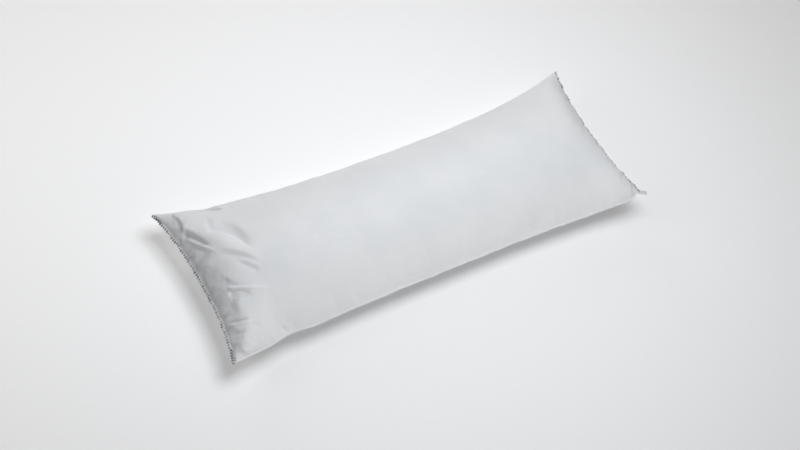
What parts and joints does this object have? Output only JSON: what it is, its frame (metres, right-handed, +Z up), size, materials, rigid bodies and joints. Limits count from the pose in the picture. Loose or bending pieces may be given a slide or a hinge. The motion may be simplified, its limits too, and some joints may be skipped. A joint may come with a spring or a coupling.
{
  "type": "body pillow",
  "caption": "Long filled body pillow with a broad crown, drawn-in sides and ends, pointed ears, knife-edge seams and soft creases near an end.",
  "frame": {"origin": "middle of the bounding box, on the surface that the pillow lies on", "axes": "+X along the pillow towards the end with the tab, +Y from the near long side to the far one, +Z up"},
  "size_m": [1.3494, 0.4928, 0.176],
  "materials": {
    "cotton_cover": "matt, finely woven white cotton with a cool tint",
    "seam_edge": "matt cotton edge with close overlock stitching",
    "tab_tape": "matt woven tape, bare"
  },
  "bodies": {
    "root": {"pillow": "cotton_cover", "end_seam_left": "seam_edge", "end_seam_right": "seam_edge", "corner_tab": "tab_tape"}
  },
  "joints": []
}
